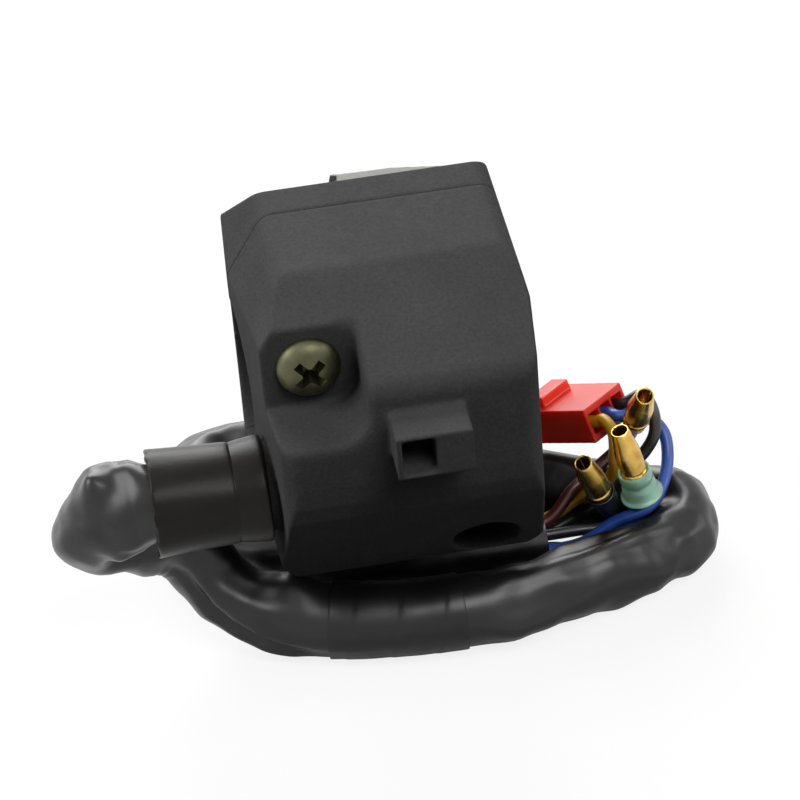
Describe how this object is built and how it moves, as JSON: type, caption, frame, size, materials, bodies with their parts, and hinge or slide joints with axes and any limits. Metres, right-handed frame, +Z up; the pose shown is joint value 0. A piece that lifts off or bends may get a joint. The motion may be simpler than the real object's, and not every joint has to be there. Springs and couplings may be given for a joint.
{
  "type": "handlebar switch cluster",
  "caption": "Two-half switch housing clamped round a handlebar, with beam rocker, turn signal slide, horn button, rubber outlet boot, sleeved harness, connector and bullet terminals.",
  "frame": {"origin": "on the handlebar's axis, at the middle of the housing's width and in the plane where its halves meet", "axes": "+X along the bar, away from the harness outlet; +Y towards the rider, where the controls are; +Z up"},
  "size_m": [0.0951, 0.0707, 0.0609],
  "materials": {
    "housing_plastic": "fine moulded texture",
    "zinc_screw": "olive zinc plate",
    "brass": "bright",
    "grey_plastic": "smooth",
    "steel": "bright",
    "phenolic": "laminate board",
    "knob_plastic": "smooth",
    "white_plastic": "smooth",
    "yellow_plastic": "smooth",
    "black_vinyl": "soft sheen",
    "boot_rubber": "satin",
    "black_tape": "vinyl tape",
    "yellow_vinyl": "wire insulation",
    "blue_vinyl": "wire insulation",
    "red_vinyl": "wire insulation",
    "green_vinyl": "wire insulation",
    "red_plastic": "moulded",
    "clear_green_vinyl": "translucent"
  },
  "bodies": {
    "housing": {"front_housing": "housing_plastic", "rear_housing": "housing_plastic", "housing_screws": "zinc_screw", "thread_inserts": "brass", "dimmer_pivot_pin": "steel", "dimmer_base": "phenolic", "dimmer_contacts": "brass", "turn_base": "phenolic", "turn_contacts": "brass", "horn_spring": "steel", "horn_base": "phenolic", "horn_contact": "brass", "base_screws": "steel", "inner_loom": "black_vinyl", "outlet_boot": "boot_rubber", "harness_sleeve": "black_vinyl", "sleeve_tape": "black_tape", "yellow_wire": "yellow_vinyl", "blue_wire": "blue_vinyl", "black_wire": "black_vinyl", "red_lead": "red_vinyl", "green_lead": "green_vinyl", "dark_lead": "black_vinyl", "connector_housing": "red_plastic", "connector_terminals": "brass", "bullet_terminals": "brass", "green_bullet_sleeve": "clear_green_vinyl", "black_bullet_sleeve": "black_vinyl"},
    "beam_rocker": {"dimmer_rocker": "grey_plastic"},
    "turn_slide": {"turn_knob": "knob_plastic", "turn_carriage": "white_plastic"},
    "horn": {"horn_button": "yellow_plastic"}
  },
  "joints": [
    {"name": "beam_rock", "type": "hinge", "parent": "housing", "child": "beam_rocker", "pos_m": [0.005, 0.00871, 0.01555], "axis": [0, 0.7071, -0.7071], "range_deg": [-8, 0]},
    {"name": "turn_slide", "type": "slide", "parent": "housing", "child": "turn_slide", "axis": [1, 0, 0], "range_m": [-0.004, 0.004]},
    {"name": "horn_press", "type": "slide", "parent": "housing", "child": "horn", "axis": [0, -1, 0], "range_m": [0, 0.002], "stiffness_N_per_m": 900, "springref_m": -0.002, "deforming": ["horn_spring"]}
  ]
}
